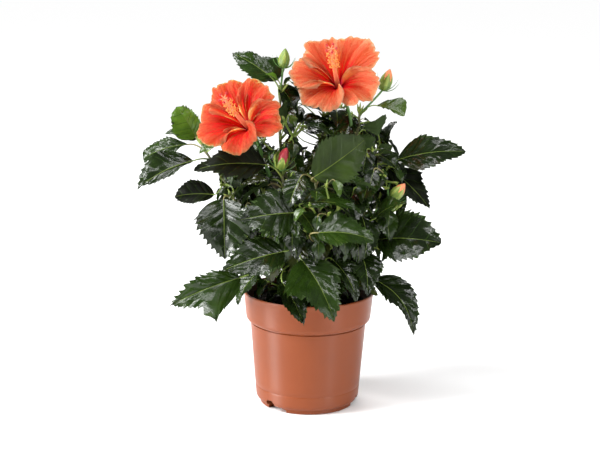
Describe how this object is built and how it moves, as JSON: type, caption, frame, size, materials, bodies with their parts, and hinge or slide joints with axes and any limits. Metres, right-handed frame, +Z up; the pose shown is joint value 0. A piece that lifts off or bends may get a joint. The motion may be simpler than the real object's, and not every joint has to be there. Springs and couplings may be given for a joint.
{
  "type": "potted hibiscus shrub",
  "caption": "Young hibiscus shrub with glossy toothed leaves, ruffled coral blooms and buds, in a round terracotta-coloured plastic pot with a deep rim band.",
  "frame": {"origin": "centre of the pot's flat underside, on the floor", "axes": "+Z up along the pot's axis, -Y towards the front that the blooms face, +X to the right as seen from there"},
  "size_m": [0.319, 0.2342, 0.3697],
  "materials": {
    "terracotta": "smooth satin plastic, terracotta-coloured",
    "compost": "damp dark crumbly compost",
    "bark": "thin greyish bark, greener above",
    "foliage": "glossy dark green leaves with lighter veins",
    "petals": "soft coral-orange petals, deep red in the throat"
  },
  "bodies": {
    "root": {"pot": "terracotta", "soil": "compost", "trunk": "bark", "bough_left": "bark", "bough_low_left": "bark", "bough_front_left": "bark", "bough_front": "bark", "bough_low_right": "bark", "bough_right": "bark", "bough_upper_right": "bark", "bough_upper_left": "bark", "bough_top_back": "bark", "bough_back_left": "bark", "bough_back": "bark", "bough_back_right": "bark", "bough_low_back_left": "bark", "bough_low_back_right": "bark", "bough_bloom_right": "bark", "bough_bloom_left": "bark", "leaves_left": "foliage", "leaves_low_left": "foliage", "leaves_front_left": "foliage", "leaves_front": "foliage", "leaves_low_right": "foliage", "leaves_right": "foliage", "leaves_upper_right": "foliage", "leaves_upper_left": "foliage", "leaves_top_back": "foliage", "leaves_back_left": "foliage", "leaves_back": "foliage", "leaves_back_right": "foliage", "leaves_low_back_left": "foliage", "leaves_low_back_right": "foliage", "bloom_right": "petals", "bloom_left": "petals"}
  },
  "joints": []
}
